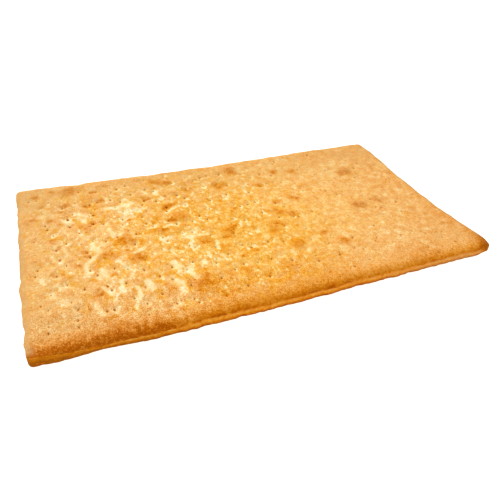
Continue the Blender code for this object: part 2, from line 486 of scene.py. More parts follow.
halos = {  # pale dough round the spikes' holes, set off to their lit side as painted highlight
    "wide": (0.0028, 0.0070),  # radii at the left
    "narrow": (0.0022, 0.0044),  # radii from the middle to the right
    "narrowing": (-0.140, -0.020),
    "rarity": 1.6,  # the higher, the fewer large ones
    "weakest": (0.2, 0.6),  # at the left and at the right
    "core": 0.3,  # the share of a narrow one that is fully pale
    "stretch": 1.8,
    "shift": (0.0010, -0.0022),  # the pale side lies to the right of a hole and in front of it, on the dimple's lit wall: painted highlight
    "spread": 0.0014,
    "seed": 41,
}


def haloField(places):
    draw = random.Random(halos["seed"])
    field = np.zeros(len(places))
    for pin in pins:
        narrow = float(ramp(pin.x, *halos["narrowing"]))
        low, high = [blend(wide, thin, narrow) for wide, thin in zip(halos["wide"], halos["narrow"])]
        size = blend(low, high, draw.random() ** halos["rarity"])
        strength = draw.uniform(blend(*halos["weakest"], narrow), 1.0)
        x = pin.x + halos["shift"][0] + draw.uniform(-1, 1) * halos["spread"]
        y = pin.y + halos["shift"][1] + draw.uniform(-1, 1) * halos["spread"]
        away = np.hypot(places[:, 0] - x, (places[:, 1] - y) / halos["stretch"])
        field = np.maximum(field, strength * (1 - ramp(away / size, halos["core"] * narrow, 1.0)))
    return field


flecks = {  # small burst bubbles, pale on golden crust
    "count": 820,
    "radii": (0.0015, 0.0030),
    "stretch": 1.4,
    "strengths": (0.4, 1.0),
    "centre": (-0.02, -0.02),
    "reach": (0.12, 0.10),
    "thinning": 0.8,  # the higher, the sooner they thin out away from the centre
    "fade": (0.3, 1.0),  # shares of the radius
    "nearSide": (0.095, 0.115, 1, 0.1),  # over -y
    "depth": 0.0003,
    "seed": 47,
}


def fleckField(places):
    draw = random.Random(flecks["seed"])
    field = np.zeros(len(places))
    for _ in range(flecks["count"]):
        x, y = anywhere(draw)
        wide = draw.uniform(*flecks["radii"])
        strength = draw.uniform(*flecks["strengths"])
        u = (x - flecks["centre"][0]) / flecks["reach"][0]
        v = (y - flecks["centre"][1]) / flecks["reach"][1]
        if math.exp(-(u**2 + v**2)) > flecks["thinning"] * draw.random():
            near, outward = withinOval(places, x, y, wide, wide * flecks["stretch"])
            field[near] = np.maximum(field[near], strength * (1 - ramp(outward, *flecks["fade"])))
    return field


warp = {  # how the pale forms are pulled about, so that none stays round
    "pulls": ((0.0026, 0.0075), (0.0012, 0.0032)),  # how far, over what span
    "squeeze": 0.65,  # of the spans, the short way of the sheet
    "upward": 1.4,  # times as far that way
}


def warped(places):
    squeezed = places * (1.0, warp["squeeze"])
    moved = places.copy()
    for far, span in warp["pulls"]:
        pull = (noiseAt(squeezed, span, 0.1), warp["upward"] * noiseAt(squeezed, span, 0.5))
        moved += far * np.stack(pull, 1)
    return moved


parts = {  # parts of the sheet that baked differently
    "right": (-0.120, 0.020),  # over x, where it begins
    "left": (-0.150, -0.060),  # over x, where it ends
    "slope": (halfWidth - 0.050, halfWidth - 0.012),  # over -y, down to the near side
    "frontMiddle": ((0.080, 0.106), (0.050, 0.110), (-0.112, -0.078)),
    "tipReach": 0.0135,  # of the near right corner, the brownest, and with painted shade
    "tipSlant": 0.55,
    "hueSpan": 0.011,  # of patches that are more golden and more floury
}


def tipShare(places):  # 1 at the near right corner
    up = parts["tipSlant"] * (places[:, 1] + halfWidth)
    return np.exp(-((np.hypot(places[:, 0] - halfLength, up) / parts["tipReach"]) ** 2))


def crustForms(places):  # how much of each form and each part of the sheet there is at each point
    x, y = places.T
    moved = warped(places)
    halfMoved = (places + moved) / 2
    form = {"puff": puffed(places), "inside": insideBy(places), "tip": tipShare(places)}
    form["roll"] = np.clip(1 - form["inside"] / edge["shoulderRun"], 0, 1)
    form["right"] = ramp(x, *parts["right"])
    form["left"] = 1 - ramp(x, *parts["left"])
    form["slope"] = ramp(-y, *parts["slope"])
    form["frontMiddle"] = frontPatch(places, *parts["frontMiddle"])
    form["lift"], form["blister"] = blisterFields(places)
    form["knolls"] = [noiseAt(places, span, 0.2) for _, span in crust["knolls"]]
    form["streaks"] = stretched(places, *crust["streaks"], 0.4)
    form["streaks"] *= blend(crust["streaksLeft"], 1, form["right"])
    form["wrinkles"] = stretched(places, *crust["wrinkles"], 0.8)
    form["wrinkles"] *= frontPatch(places, *crust["wrinklePatch"])
    form["dome"], crease, form["tone"] = bubbleField(moved)
    form["between"] = np.maximum(crease, 1 - ramp(form["dome"], *bubbles["foot"]))
    form["cluster"] = ramp(noiseAt(places, bubbles["clusterSpan"], 0.35), *bubbles["cluster"])
    form["stayedPale"] = ramp(noiseAt(places, bubbles["selectSpan"], 0.65), *bubbles["select"])
    form["toasted"] = form["between"] * (1 - form["stayedPale"]) * form["puff"]
    form["halo"] = haloField(moved)
    form["valley"] = valleyField(moved)
    form["vein"] = veinField(halfMoved)
    form["fleck"] = fleckField(halfMoved) * changing(-y, *flecks["nearSide"])
    form["spot"] = spotField(halfMoved)
    form["farSpot"] = form["spot"] * ramp(y, *spots["far"])
    form["funnel"], form["hole"], form["which"] = holeFields(places)
    form["hue"] = noiseAt(places, parts["hueSpan"], 0.7)
    return form


def crustHeight(places, form):
    distance, _ = nearestPin(places)
    height = sheet["thickness"] + form["lift"]
    for rise, span in sheet["swells"]:
        height += rise * noiseAt(places, span)
    height -= docker["dimpleDepth"] * openShare(*places.T) * hump(distance / docker["dimpleRadius"])
    for (rise, _), knoll in zip(crust["knolls"], form["knolls"]):
        height += rise * knoll * blend(crust["knollsCalm"], 1, form["puff"])
    height += crust["streakRise"] * form["streaks"] * blend(1, crust["streaksPuffed"], form["puff"])
    height += crust["wrinkleRise"] * form["wrinkles"]
    domes = bubbles["rise"] * form["dome"] - bubbles["creaseDepth"] * form["between"]
    height += domes * form["puff"] * (1 - form["roll"])
    height -= valley["depth"] * form["valley"] * form["puff"] + flecks["depth"] * form["fleck"]
    return height - crust["funnelDepth"] * form["funnel"] - crust["holeDepth"] * form["hole"]


paling = {  # how pale the dough stayed in each form
    "crease": (0.08, 0.44),  # in a stretch with few pale creases, and with many
    "creaseAlong": (-0.110, -0.030, 1, 0.25),
    "halo": (-0.110, -0.040, 0.80, 1.25),
    "valley": 0.28,
    "fleck": (0.55, 0.95),  # where the crust puffed up least, and most
    "vein": (0.68, 0.94),  # on a bubble, and between bubbles
    "blisterTakes": 0.9,
    "spotTakes": 0.72,
    "frontMiddleTakes": 0.90,
    # the funnel round a hole loses its pale dough, so it stays browner: partly painted shade of the dimple
    "funnelTakes": (-0.110, -0.040, 0.8, 0.5),
}


def crustPale(places, form):
    x = places[:, 0]
    creased = form["between"] * form["stayedPale"] * blend(*paling["crease"], form["cluster"])
    pale = creased * changing(x, *paling["creaseAlong"]) + form["halo"] * changing(x, *paling["halo"])
    pale = form["puff"] * (pale + paling["valley"] * form["valley"])
    pale += blend(*paling["fleck"], form["puff"]) * form["fleck"]
    pale -= np.maximum(paling["blisterTakes"] * form["blister"], paling["spotTakes"] * form["spot"])
    pale = np.maximum(pale, 0) * (1 - paling["frontMiddleTakes"] * form["frontMiddle"])
    pale += form["vein"] * blend(*paling["vein"], form["between"])
    return np.clip(pale * (1 - changing(x, *paling["funnelTakes"]) * form["funnel"]), 0, 1)


browning = {  # how far baked, from 0 to 1: what each form adds
    "level": 0.50,
    "most": 0.95,
    "slow": 0.05,
    "slowSpan": 0.05,
    "slowAlong": (0.060, 0.160, 1, 1.8),
    "calm": (-0.150, -0.060, 0.10, 0.85),  # how much less mottle there is on the slope
    "bubble": (0.07, 0.12),  # where the crust puffed up least, and most
    "knolls": (0.12, 0.10),
    "streak": (0.10, 0.04),
    "browner": (1, 0.80),  # how strong the mottle is at the left and right, where it is browner
    "paler": (1, 1.70),
    "wrinkles": (0.0, 0.6, 0, -0.14),
    "slopeGrain": (-0.150, -0.060, 0.15, 0.03),
    "slopeGrainSpan": 0.0052,
    "frontPatches": (
        (0.05, (0.080, 0.120), (0.040, 0.120), (-0.150, -0.060)),
        (0.03, (0.060, 0.110), (-0.150, -0.060)),
    ),
    "along": ((0.120, 0.250, 0, 0.03), (-0.240, -0.190, -0.03, 0)),
    "toasted": 0.10,
    "blister": (0.20, 0.24),  # at the left and right
    "spot": 0.28,
    "spotInBlister": 0.5,
    # browner in each hole's funnel, most at the left: partly a golden ring, partly painted shade
    "funnel": (-0.200, -0.120, 0.26, 0.12),
    "frontMiddle": 0.04,
}

rims = {  # how much browner each side's rim is, and how far in that fades
    "frontLeft": (0.73, 0.0150),
    "frontRight": (0.34, 0.0110),
    "back": (0.08, 0.030),
    "left": (0.02, 0.020),
    "right": (0.11, 0.018),
    "roll": (0.17, 0.0045),
    "frontChange": (-0.200, -0.075),
    "rightDown": (-0.02, 0.11, 1, 2.4),  # over -y
    # the near right corner is browned; it gets painted shade as well
    "tip": 0.52,
}


def rimBrowning(places, form):  # browner towards the sides, most along the near one
    def fading(name, away):
        amount, fade = rims[name]
        return amount * np.exp(-np.maximum(away, 0) / fade)

    x, y = places.T
    down = y + halfWidth
    front = blend(fading("frontLeft", down), fading("frontRight", down), ramp(x, *rims["frontChange"]))
    sides = fading("right", halfLength - x) * changing(-y, *rims["rightDown"])
    sides += fading("back", halfWidth - y) + fading("left", x + halfLength) + fading("roll", form["inside"])
    return np.maximum(front, sides) + rims["tip"] * form["tip"]


def crustBake(places, form):
    x = places[:, 0]
    calm = 1 - changing(x, *browning["calm"]) * form["slope"]
    mottle = blend(*browning["streak"], form["puff"]) * form["streaks"]
    for amount, knoll in zip(browning["knolls"], form["knolls"]):
        mottle += amount * knoll
    strength = np.where(mottle > 0, *[blend(*browning[name], form["right"]) for name in ("browner", "paler")])
    slow = browning["slow"] * noiseAt(places, browning["slowSpan"], 0.9)
    bake = browning["level"] + slow * changing(x, *browning["slowAlong"])
    bake += calm * (blend(*browning["bubble"], form["puff"]) * form["tone"] + strength * mottle)
    bake += changing(form["wrinkles"], *browning["wrinkles"])
    grain = noiseAt(places, browning["slopeGrainSpan"], 1.3)
    bake += changing(x, *browning["slopeGrain"]) * form["slope"] * grain
    for amount, *patch in browning["frontPatches"]:
        bake += amount * frontPatch(places, *patch)
    for change in browning["along"]:
        bake += changing(x, *change)
    bake += blend(*browning["blister"], form["right"]) * form["blister"]
    bake += browning["spot"] * form["spot"] * (1 - browning["spotInBlister"] * form["blister"])
    # browner round each hole: partly painted shade
    bake += changing(x, *browning["funnel"]) * form["funnel"] + browning["toasted"] * form["toasted"]
    bake += browning["frontMiddle"] * form["frontMiddle"] + rimBrowning(places, form)
    return np.minimum(bake, browning["most"])


toning = {  # how golden the crust is, rather than rosy
    "centre": (-0.025, -0.030),
    "reach": (0.130, 0.120),
    "rimFade": 0.013,  # the near rim is golden too
    "rimAlong": ((-0.220, -0.100, 0, 1), (0.0, 0.100, 1, 0.8)),
    "hue": 0.45,
    "dome": -0.30,
    "domeMiddle": 0.4,  # a dome is rosier above this share of its height, and more golden below
    "toasted": 0.8,
    "farSide": (0.040, 0.110, 0, 0.15),  # over y
    "farSpot": ((0.010, 0.060), (-0.150, -0.090, 0, 0.5)),
    "rightSpot": (0.020, 0.060, 0, -0.3),
    "frontPatches": (
        (-0.35, (0.050, 0.100), (-0.140, -0.060)),
        (-0.20, (0.050, 0.100), (1.0, 1.1), (0.040, 0.120)),
    ),
    "tip": 0.8,
}


def crustGolden(places, form):
    x, y = places.T
    u = (x - toning["centre"][0]) / toning["reach"][0]
    v = (y - toning["centre"][1]) / toning["reach"][1]
    rim = np.exp(-(y + halfWidth) / toning["rimFade"])
    for change in toning["rimAlong"]:
        rim = rim * changing(x, *change)
    golden = np.maximum(np.exp(-(u**2 + v**2)), rim) + toning["toasted"] * form["toasted"]
    domes = toning["dome"] * (form["dome"] - toning["domeMiddle"])
    golden += form["puff"] * (toning["hue"] * form["hue"] + domes) + changing(y, *toning["farSide"])
    up, along = toning["farSpot"]
    golden += form["spot"] * (ramp(y, *up) * changing(x, *along) + changing(x, *toning["rightSpot"]))
    for amount, *patch in toning["frontPatches"]:
        golden += amount * frontPatch(places, *patch) * (1 - form["roll"])
    return np.maximum(golden, toning["tip"] * form["tip"])


dustingAndShade = {  # a greyer, darker tan on the far part and on every rim but the near one: flour on the far part and far rim, painted shade on the left and right rims
    "far": (0.030, 0.125, 0, 0.34),  # over y
    "along": ((-0.240, -0.170, 0.24, 0), (0.100, 0.240, 0, 0.14)),
    "frontPatch": (0.08, (0.060, 0.105), (-0.160, -0.080)),
    "nearFade": (0.004, 0.026),  # up from the near side
    # how much of it each rim gets: painted shade on the left and right, flour on the far one
    "rims": {"left": 0.75, "right": 0.85, "back": 0.40},
    "rimFade": (0.002, 0.012),
    "rimNearFade": (0.001, 0.008),
    "patchy": (0.8, 0.5),
    "farSpotTakes": 0.6,
    "blister": (0.100, 0.150, 0, 0.20),
}


# flour on the far part, painted shade on the left and right rims
def crustFlourAndShade(places, form):
    x, y = places.T
    down = y + halfWidth
    flour_and_shade = changing(y, *dustingAndShade["far"])
    for change in dustingAndShade["along"]:
        flour_and_shade += changing(x, *change)
    amount, *patch = dustingAndShade["frontPatch"]
    flour_and_shade = (flour_and_shade + amount * frontPatch(places, *patch)) * ramp(down, *dustingAndShade["nearFade"])
    for name, away in (("left", x + halfLength), ("right", halfLength - x), ("back", halfWidth - y)):
        rim = dustingAndShade["rims"][name] * (1 - ramp(away, *dustingAndShade["rimFade"]))
        flour_and_shade = np.maximum(flour_and_shade, rim * ramp(down, *dustingAndShade["rimNearFade"]))
    even, uneven = dustingAndShade["patchy"]
    flour_and_shade *= (even + uneven * form["hue"]) * (1 - form["tip"])
    flour_and_shade *= 1 - dustingAndShade["farSpotTakes"] * form["farSpot"]
    return flour_and_shade + changing(x, *dustingAndShade["blister"]) * form["blister"]


paintedShading = {  # darkest places of the crust: painted shade inside the holes, and painted shade over browning at the far spots and the near right corner
    "hole": (1.15, 0.80),  # times the hole's own amount of painted shade, at the left and right
    "farSpot": 0.26,
    "tip": 0.8,
}

gritting = {  # how strong the fine speckle is
    "along": (1.0, 0.68),  # at the left and right
    "front": (0.50, 0.85),  # more towards the near side, at the right and left
    "frontFrom": (0.075, 0.115),  # over -y
    "roll": 0.5,
    "rollFade": (0.25, 0.75, 1, 0.35),
}


def crustFields(places):
    form = crustForms(places)
    # the open holes get painted shade inside, darker at the left, and the near right corner gets it too
    holeDark = holeTone[form["which"]] * blend(*paintedShading["hole"], form["right"])
    shade = np.maximum(form["hole"] * np.minimum(holeDark, 1), paintedShading["tip"] * form["tip"])
    front = blend(*gritting["front"], form["left"]) * ramp(-places[:, 1], *gritting["frontFrom"])
    grit = blend(*gritting["along"], form["right"]) + front + gritting["roll"] * form["roll"]
    return {
        "height": crustHeight(places, form),
        "roll": form["roll"],
        "bake": crustBake(places, form),
        "pale": crustPale(places, form),
        "shade": np.maximum(shade, paintedShading["farSpot"] * form["farSpot"]),
        "golden": crustGolden(places, form),
        "flour_and_shade": crustFlourAndShade(places, form),
        "grit": grit * changing(form["roll"], *gritting["rollFade"]),
        "lively": form["puff"] * (1 - form["blister"]) * (1 - form["roll"]),
    }


def outlineLoop(inset):  # one ring of plan points, the same count whatever the inset
    radius = max(sheet["cornerRadius"] - inset, edge["leastRadius"])
    longSteps = round((sheet["length"] - 2 * sheet["cornerRadius"]) / edge["step"])
    shortSteps = round((sheet["width"] - 2 * sheet["cornerRadius"]) / edge["step"])
    x = halfLength - inset - radius
    y = halfWidth - inset - radius
    corners = (
        (x, -y, -90, shortSteps),
        (x, y, 0, longSteps),
        (-x, y, 90, shortSteps),
        (-x, -y, 180, longSteps),
    )

    def onArc(corner, degrees):
        angle = math.radians(degrees)
        return corner[0] + radius * math.cos(angle), corner[1] + radius * math.sin(angle)

    loop = []
    for i, corner in enumerate(corners):
        for step in range(edge["cornerSteps"] + 1):
            loop.append(onArc(corner, corner[2] + 90 * step / edge["cornerSteps"]))
        following = corners[(i + 1) % 4]
        begin = loop[-1]
        end = onArc(following, following[2])
        for step in range(1, corner[3]):
            t = step / corner[3]
            loop.append((blend(begin[0], end[0], t), blend(begin[1], end[1], t)))
    return np.array(loop)


def latticeInside(spacing, inset, seed):  # a jittered triangular lattice, clear of the outline
    draw = np.random.default_rng(seed)
    rise = spacing * math.sqrt(0.75)
    rows = int(sheet["width"] / rise) + 2
    columns = int(sheet["length"] / spacing) + 2
    grid = []
    for row in range(rows):
        for column in range(columns):
            grid.append(((column - columns / 2 + 0.5 * (row % 2)) * spacing, (row - rows / 2) * rise))
    jitter = crust["latticeJitter"]
    grid = np.array(grid) + draw.uniform(-jitter, jitter, (len(grid), 2)) * spacing
    return grid[insideBy(grid) > inset + 0.5 * spacing]


def crustLattice(inset):
    fine, wide = crust["lattice"]
    west, east, south, north = crust["busy"]
    found = []
    for spacing, gap in ((fine, 0.0), (wide, 0.5 * (fine + wide))):
        grid = latticeInside(spacing, inset, crust["latticeSeed"])
        x, y = grid.T
        busy = (x > west - gap) & (x < east + gap) & (y > south - gap) & (y < north + gap)
        found.append(grid[busy if spacing == fine else ~busy])
    return np.concatenate(found)


def filled(loop, inner):  # triangles inside a closed loop, over the loop's and the inner points
    points = [Vector(p) for p in np.concatenate([loop, inner])]
    sides = [(i, (i + 1) % len(loop)) for i in range(len(loop))]
    verts, _, faces, origins, _, _ = delaunay_2d_cdt(points, sides, [], 1, 1e-7)
    order = [origin[0] if origin else -1 for origin in origins]
    if -1 in order or len(verts) != len(points):
        print("warning: the triangulation merged or added points", len(verts), len(points))
    return [[order[i] for i in face] for face in faces]


def holePoints():
    points = []
    for i in np.flatnonzero(pinOpen):
        pin = pins[i]
        points.append((pin.x, pin.y))
        for ring, share in enumerate(crust["holeRings"]):
            for side in range(crust["holeSides"]):
                angle = whole * (side + 0.5 * (ring % 2)) / crust["holeSides"]
                radius = share * crust["holeRadius"] * holeSize[i]
                up = radius * crust["holeStretch"] * math.sin(angle)
                points.append((pin.x + radius * math.cos(angle), pin.y + up))
    return np.array(points)


def clearOfHoles(points):
    distance, which = nearestPin(points, crust["holeStretch"])
    reach = crust["holeClear"] * crust["holeRings"][-1] * crust["holeRadius"] * holeSize[which]
    return points[(distance > reach) | ~pinOpen[which]]


def apartPoints(points, gap):  # drops points that would lie almost on one another
    seen = {}
    kept = []
    around = [(dx, dy) for dx in (-1, 0, 1) for dy in (-1, 0, 1)]
    for x, y in points:
        column, row = round(x / gap), round(y / gap)
        near = [q for dx, dy in around for q in seen.get((column + dx, row + dy), ())]
        if all((x - q[0]) ** 2 + (y - q[1]) ** 2 > gap * gap for q in near):
            seen.setdefault((column, row), []).append((x, y))
            kept.append((x, y))
    return np.array(kept)


def edgeRings():  # each ring's kind, how far inside the side it runs, and its place on that kind
    run = edge["shoulderRun"]
    depth = edge["creaseDepth"]
    foot = edge["footInset"]
    last = edge["bandRows"] - 1
    rings = [("crust", run * (1 - math.sin(math.radians(angle))), 0) for angle in edge["shoulderAngles"]]
    rings += [("crease", share * depth, up) for share, up in edge["creaseSteps"]]
    rings += [("ledge", share * depth, down) for share, down in edge["ledgeSteps"]]
    rings += [("band", 0.0, row / last) for row in range(last + 1)]
    rings += [("foot", share * foot, up) for share, up in edge["footSteps"]]
    return rings


sideTones = {  # how the side is baked below the shoulder; along is x as a share of half the length
    "corner": (-0.210, -0.060, 1, 0),  # the browner left part, over x
    "farLeft": (-0.215, -0.165, 0.14, 0),  # what it adds on the ledge, over x
    "tip": ((0.238, 0.256), (-0.145, -0.112)),  # the near right corner, over x and y
    # the near right corner's side: browned, and darkened with painted shade
    "tipBake": 0.95,
    "tipShade": 0.8,
    "burntFrom": (-0.05, 0.45),  # where the ragged foot is burnt, and how far along
    "burntAlong": (0.30, 0.85, 1, 0),
    "crease": (0.80, 0.96),  # at least: elsewhere, and in the left part
    "creaseMore": (0, 0.05),
    "creaseAlong": (0.70, 0.95, 0, 0.06),
    "creaseGolden": 0.8,
    "creaseFlourAndShade": 0.3,
    "creaseGrit": 0.6,
    "ledge": 0.66,
    "ledgeAlong": (0.60, 0.90, 0, 0.08),
    "ledgeRagged": 0.20,
    "band": 0.72,
    "bandTopCorner": 0.15,
    "bandDarker": (0.20, 0.26),  # added down it: elsewhere, and in the left part
    "bandDown": (0.05, 0.78),
    "bandLow": (0.70, 1.0),
    "bandBurnt": (0.06, 0.16),  # added low on it, where the foot isn't burnt and where it is
    "bandRagged": 0.04,
    "bandMost": 0.985,
    # painted shade on the band, most in its left part: at its top, and added down it
    "bandShadeTop": (0, 0.70),
    "bandShadeDown": (0.50, 0.25),
    "golden": (0.80, 0.35),  # in the middle and at the right end
    "flour_and_shade": (0.2, 0.9, 0, 0.30),
    "grit": 0.8,
}


def sideShares(loop):  # how much each place round the side takes part in each change
    x, y = loop.T
    along = x / halfLength
    out, quick = [noiseAt(loop, edge["raggedSpan"], lift) for lift in (0.11, 0.57)]
    slow = noiseAt(loop, edge["wearSpan"], 0.31)
    worn = edge["ragged"] * (edge["wear"][0] * quick + edge["wear"][1] * slow)
    for middle, span, up in edge["notches"]:
        worn += up * np.exp(-(((x - middle) / span) ** 2)) * (y < 0)
    tipAlong, tipUp = sideTones["tip"]
    return {
        "along": along,
        "ripple": edge["ripple"] * noiseAt(footOf(loop), edge["rippleSpan"], 0.6),
        "ragged": edge["ragged"] * out,
        "quick": quick,
        "worn": worn,
        "burnt": ramp(quick, *sideTones["burntFrom"]) * changing(along, *sideTones["burntAlong"]),
        "corner": changing(x, *sideTones["corner"]),
        "farLeft": changing(x, *sideTones["farLeft"]),
        "tip": ramp(x, *tipAlong) * (1 - ramp(y, *tipUp)),
    }


def ringHeight(kind, share, crustLevel, crease, worn):
    if kind == "crease":
        return crease + share * (crustLevel - crease)
    if kind == "ledge":
        return crease - share * edge["ledgeDrop"]
    if kind == "band":
        return blend(crease - edge["ledgeDrop"], edge["footHeight"] + worn, share)
    return share * (edge["footHeight"] + worn)


def bakeRing(kind, share, at, look):  # at: the side's shares; look: the ring's fields, changed in place
    tones = sideTones
    if kind == "crease":
        deep = blend(*tones["crease"], at["corner"]) + changing(at["along"], *tones["creaseAlong"])
        look["bake"][:] = np.maximum(look["bake"] + blend(*tones["creaseMore"], at["corner"]), deep)
        look["golden"][:] = np.maximum(look["golden"], tones["creaseGolden"])
        look["flour_and_shade"][:] *= tones["creaseFlourAndShade"]
        look["grit"][:] = tones["creaseGrit"]
        return
    shade = look["shade"]
    if kind == "ledge":
        bake = tones["ledge"] + at["farLeft"] + changing(at["along"], *tones["ledgeAlong"])
        bake += tones["ledgeRagged"] * at["quick"]
    elif kind == "band":
        low = ramp(share, *tones["bandLow"])
        bake = tones["band"] + blend(*tones["bandDarker"], at["corner"]) * ramp(share, *tones["bandDown"])
        bake += tones["bandTopCorner"] * at["corner"] * (1 - share)
        bake += blend(*tones["bandBurnt"], at["burnt"]) * low
        bake = np.minimum(bake + tones["bandRagged"] * at["quick"], tones["bandMost"])
        # painted shade on the band, less low down where its foot is burnt
        shade = blend(*tones["bandShadeTop"], at["corner"]) + blend(*tones["bandShadeDown"], at["corner"]) * share
        shade *= 1 - at["burnt"] * low
    else:
        # the foot is the brownest; where it isn't burnt it also gets painted shade under the band
        bake = 1.0
        shade = 1 - at["burnt"]
    look["bake"][:] = np.maximum(bake, tones["tipBake"] * at["tip"])
    look["shade"][:] = np.maximum(shade, tones["tipShade"] * at["tip"])
    look["golden"][:] = blend(*tones["golden"], at["along"])
    look["flour_and_shade"][:] = changing(at["along"], *tones["flour_and_shade"]) * (1 - at["tip"])
    look["grit"][:] = tones["grit"]
    look["pale"][:] = 0.0
    look["lively"][:] = 0.0


underside = {
    "spacing": 0.004,
    "margin": 0.001,
    "seed": 22,
    "mottle": 0.12,
    "mottleSpan": 0.030,
    "look": {
        "bake": 0.60, "pale": 0.0, "shade": 0.0, "golden": 0.3, "flour_and_shade": 0.1, "grit": 1.0, "lively": 0.0,
    },
}


def breadFaces(rings, count, topPoints, underPoints):  # every face, and which material it takes
    # the points come ring by ring, then the crust's, then the underside's
    topFrom = len(rings) * count
    underFrom = topFrom + len(topPoints)
    last = topFrom - count
    faces = []
    for face in filled(outlineLoop(rings[0][1]), topPoints):
        faces.append([i if i < count else topFrom + i - count for i in face])
    kinds = [0] * len(faces)
    for level in range(len(rings) - 1):
        upper, lower = level * count, (level + 1) * count
        for i in range(count):
            j = (i + 1) % count
            faces.append([upper + i, lower + i, lower + j, upper + j])
            kinds.append(0 if rings[level + 1][0] == "crust" else 1)
    for face in filled(outlineLoop(rings[-1][1]), underPoints):
        faces.append([last + i if i < count else underFrom + i - count for i in reversed(face)])
        kinds.append(2)
    return faces, kinds


def makeBread():
    rings = edgeRings()
    loops = [outlineLoop(inset) for _, inset, _ in rings]
    count = len(loops[0])
    holes = apartPoints(holePoints(), crust["leastGap"])
    topPoints = np.concatenate([holes, clearOfHoles(crustLattice(rings[0][1]))])
    underPoints = latticeInside(underside["spacing"], rings[-1][1] + underside["margin"], underside["seed"])
    plan = np.concatenate([*loops, topPoints, underPoints])
    fields = crustFields(plan)
    print("crust fields worked out at", len(plan), "points")

    # the crust rolls over to the crease, and the rings below stand under it
    crease = creaseHeight(plan)
    z = blend(crease, fields["height"], np.sqrt(1 - fields["roll"] ** 2))
    outward = outlineLoop(0.0) - outlineLoop(0.001)
    outward /= np.linalg.norm(outward, axis=1)[:, None]
    around = sideShares(loops[0])
    for level, (kind, inset, share) in enumerate(rings):
        ring = slice(level * count, (level + 1) * count)
        out = around["ripple"] * (1 - inset / edge["shoulderRun"])
        if kind != "crust":
            z[ring] = ringHeight(kind, share, fields["height"][ring], crease[ring], around["worn"])
            bakeRing(kind, share, around, {name: values[ring] for name, values in fields.items()})
        if kind in ("ledge", "band", "foot"):
            out += around["ragged"]
        if kind == "foot":
            out -= np.maximum(around["worn"], 0)
        plan[ring] += outward * out[:, None]

    below = slice(-len(underPoints), None)
    z[below] = 0.0
    for name, value in underside["look"].items():
        fields[name][below] = value
    fields["bake"][below] += underside["mottle"] * noiseAt(underPoints, underside["mottleSpan"], 0.3)

    faces, kinds = breadFaces(rings, count, topPoints, underPoints)
    data = bpy.data.meshes.new("breadCrust")
    data.from_pydata(np.column_stack([bowed(plan), z]).tolist(), [], faces)
    data.validate()
    for name in underside["look"]:
        layer = data.attributes.new(name, "FLOAT", "POINT")
        layer.data.foreach_set("value", fields[name].astype(np.float32))
    data.polygons.foreach_set("material_index", np.array(kinds, np.int32))
    data.shade_smooth()
    result = bpy.data.objects.new("breadCrust", data)
    bpy.context.scene.collection.objects.link(result)
    data.calc_loop_triangles()
    print("bread triangles:", len(data.loop_triangles))
    return result


# Helpers for the shader groups and materials
def newGroup(name, inputs, outputs):
    group = bpy.data.node_groups.new(name, "ShaderNodeTree")
    for label, kind, default in inputs:
        socket = group.interface.new_socket(label, in_out="INPUT", socket_type=kind)
        if default is not None:
            socket.default_value = default
    for label, kind in outputs:
        group.interface.new_socket(label, in_out="OUTPUT", socket_type=kind)
    return group, group.nodes.new("NodeGroupInput"), group.nodes.new("NodeGroupOutput")


def feed(tree, sockets, values):  # a number or colour is set on its socket, another node's output is linked
    for socket, value in zip(sockets, values):
        if isinstance(value, (int, float, tuple)):
            socket.default_value = value
        else:
            tree.links.new(value, socket)


def mathNode(tree, operation, *values, clamp=False):
    node = tree.nodes.new("ShaderNodeMath")
    node.operation = operation
    node.use_clamp = clamp
    feed(tree, node.inputs, values)
    return node.outputs[0]


def vectorNode(tree, operation, *values):
    node = tree.nodes.new("ShaderNodeVectorMath")
    node.operation = operation
    feed(tree, node.inputs, values)
    return node.outputs[0]


def noiseNode(tree, coordinates, scale, detail):
    node = tree.nodes.new("ShaderNodeTexNoise")
    node.inputs["Scale"].default_value = scale
    node.inputs["Detail"].default_value = detail
    tree.links.new(coordinates, node.inputs["Vector"])
    return node


def smoothStep(tree, value, start, end):
    node = tree.nodes.new("ShaderNodeMapRange")
    node.interpolation_type = "SMOOTHSTEP"
    node.inputs["From Min"].default_value = start
    node.inputs["From Max"].default_value = end
    tree.links.new(value, node.inputs["Value"])
    return node.outputs["Result"]


def mixColour(tree, factor, a, b):
    node = tree.nodes.new("ShaderNodeMix")
    node.data_type = "RGBA"
    feed(tree, (node.inputs["Factor"], node.inputs["A"], node.inputs["B"]), (factor, a, b))
    return node.outputs["Result"]


# How far baked, and the crust's colour there: in its golden middle, and towards its rosier rims
bakeTones = (
    (0.00, (254, 243, 200), (254, 240, 196)),
    (0.18, (253, 225, 158), (252, 220, 160)),
    (0.34, (250, 204, 112), (248, 202, 131)),
    (0.48, (246, 187, 86), (243, 187, 114)),
    (0.60, (241, 171, 62), (237, 172, 98)),
    (0.72, (236, 156, 46), (232, 156, 71)),
    (0.84, (219, 131, 16), (215, 132, 38)),
    (0.93, (195, 99, 3), (191, 101, 9)),
    (0.965, (168, 82, 2), (166, 84, 5)),
    (1.00, (108, 46, 1), (110, 50, 3)),
)
# the greyer, darker tan of the flour and of the painted shade on the rims
flourAndShadeTone = (214, 172, 113)
# painted shade: the olive brown inside the holes, on the band and the foot, on the far spots and on the near
# right corner
shadeTone = (160, 98, 14)
lightLevel = 1.14  # how much brighter than its own colour a level surface stands in the studio

colouring = {
    "paleShows": (0.04, 1.00),  # from where paleness shows, and where in full
    "paleTakes": 0.82,  # of how far baked the crust is
    "speckleFrom": 1.45,  # the speckle is this less how far baked
    "speckleMost": 0.88,  # and bakes the crust no further than this
    # how far the painted shade goes towards its olive tone
    "shadeShare": 0.7,
}


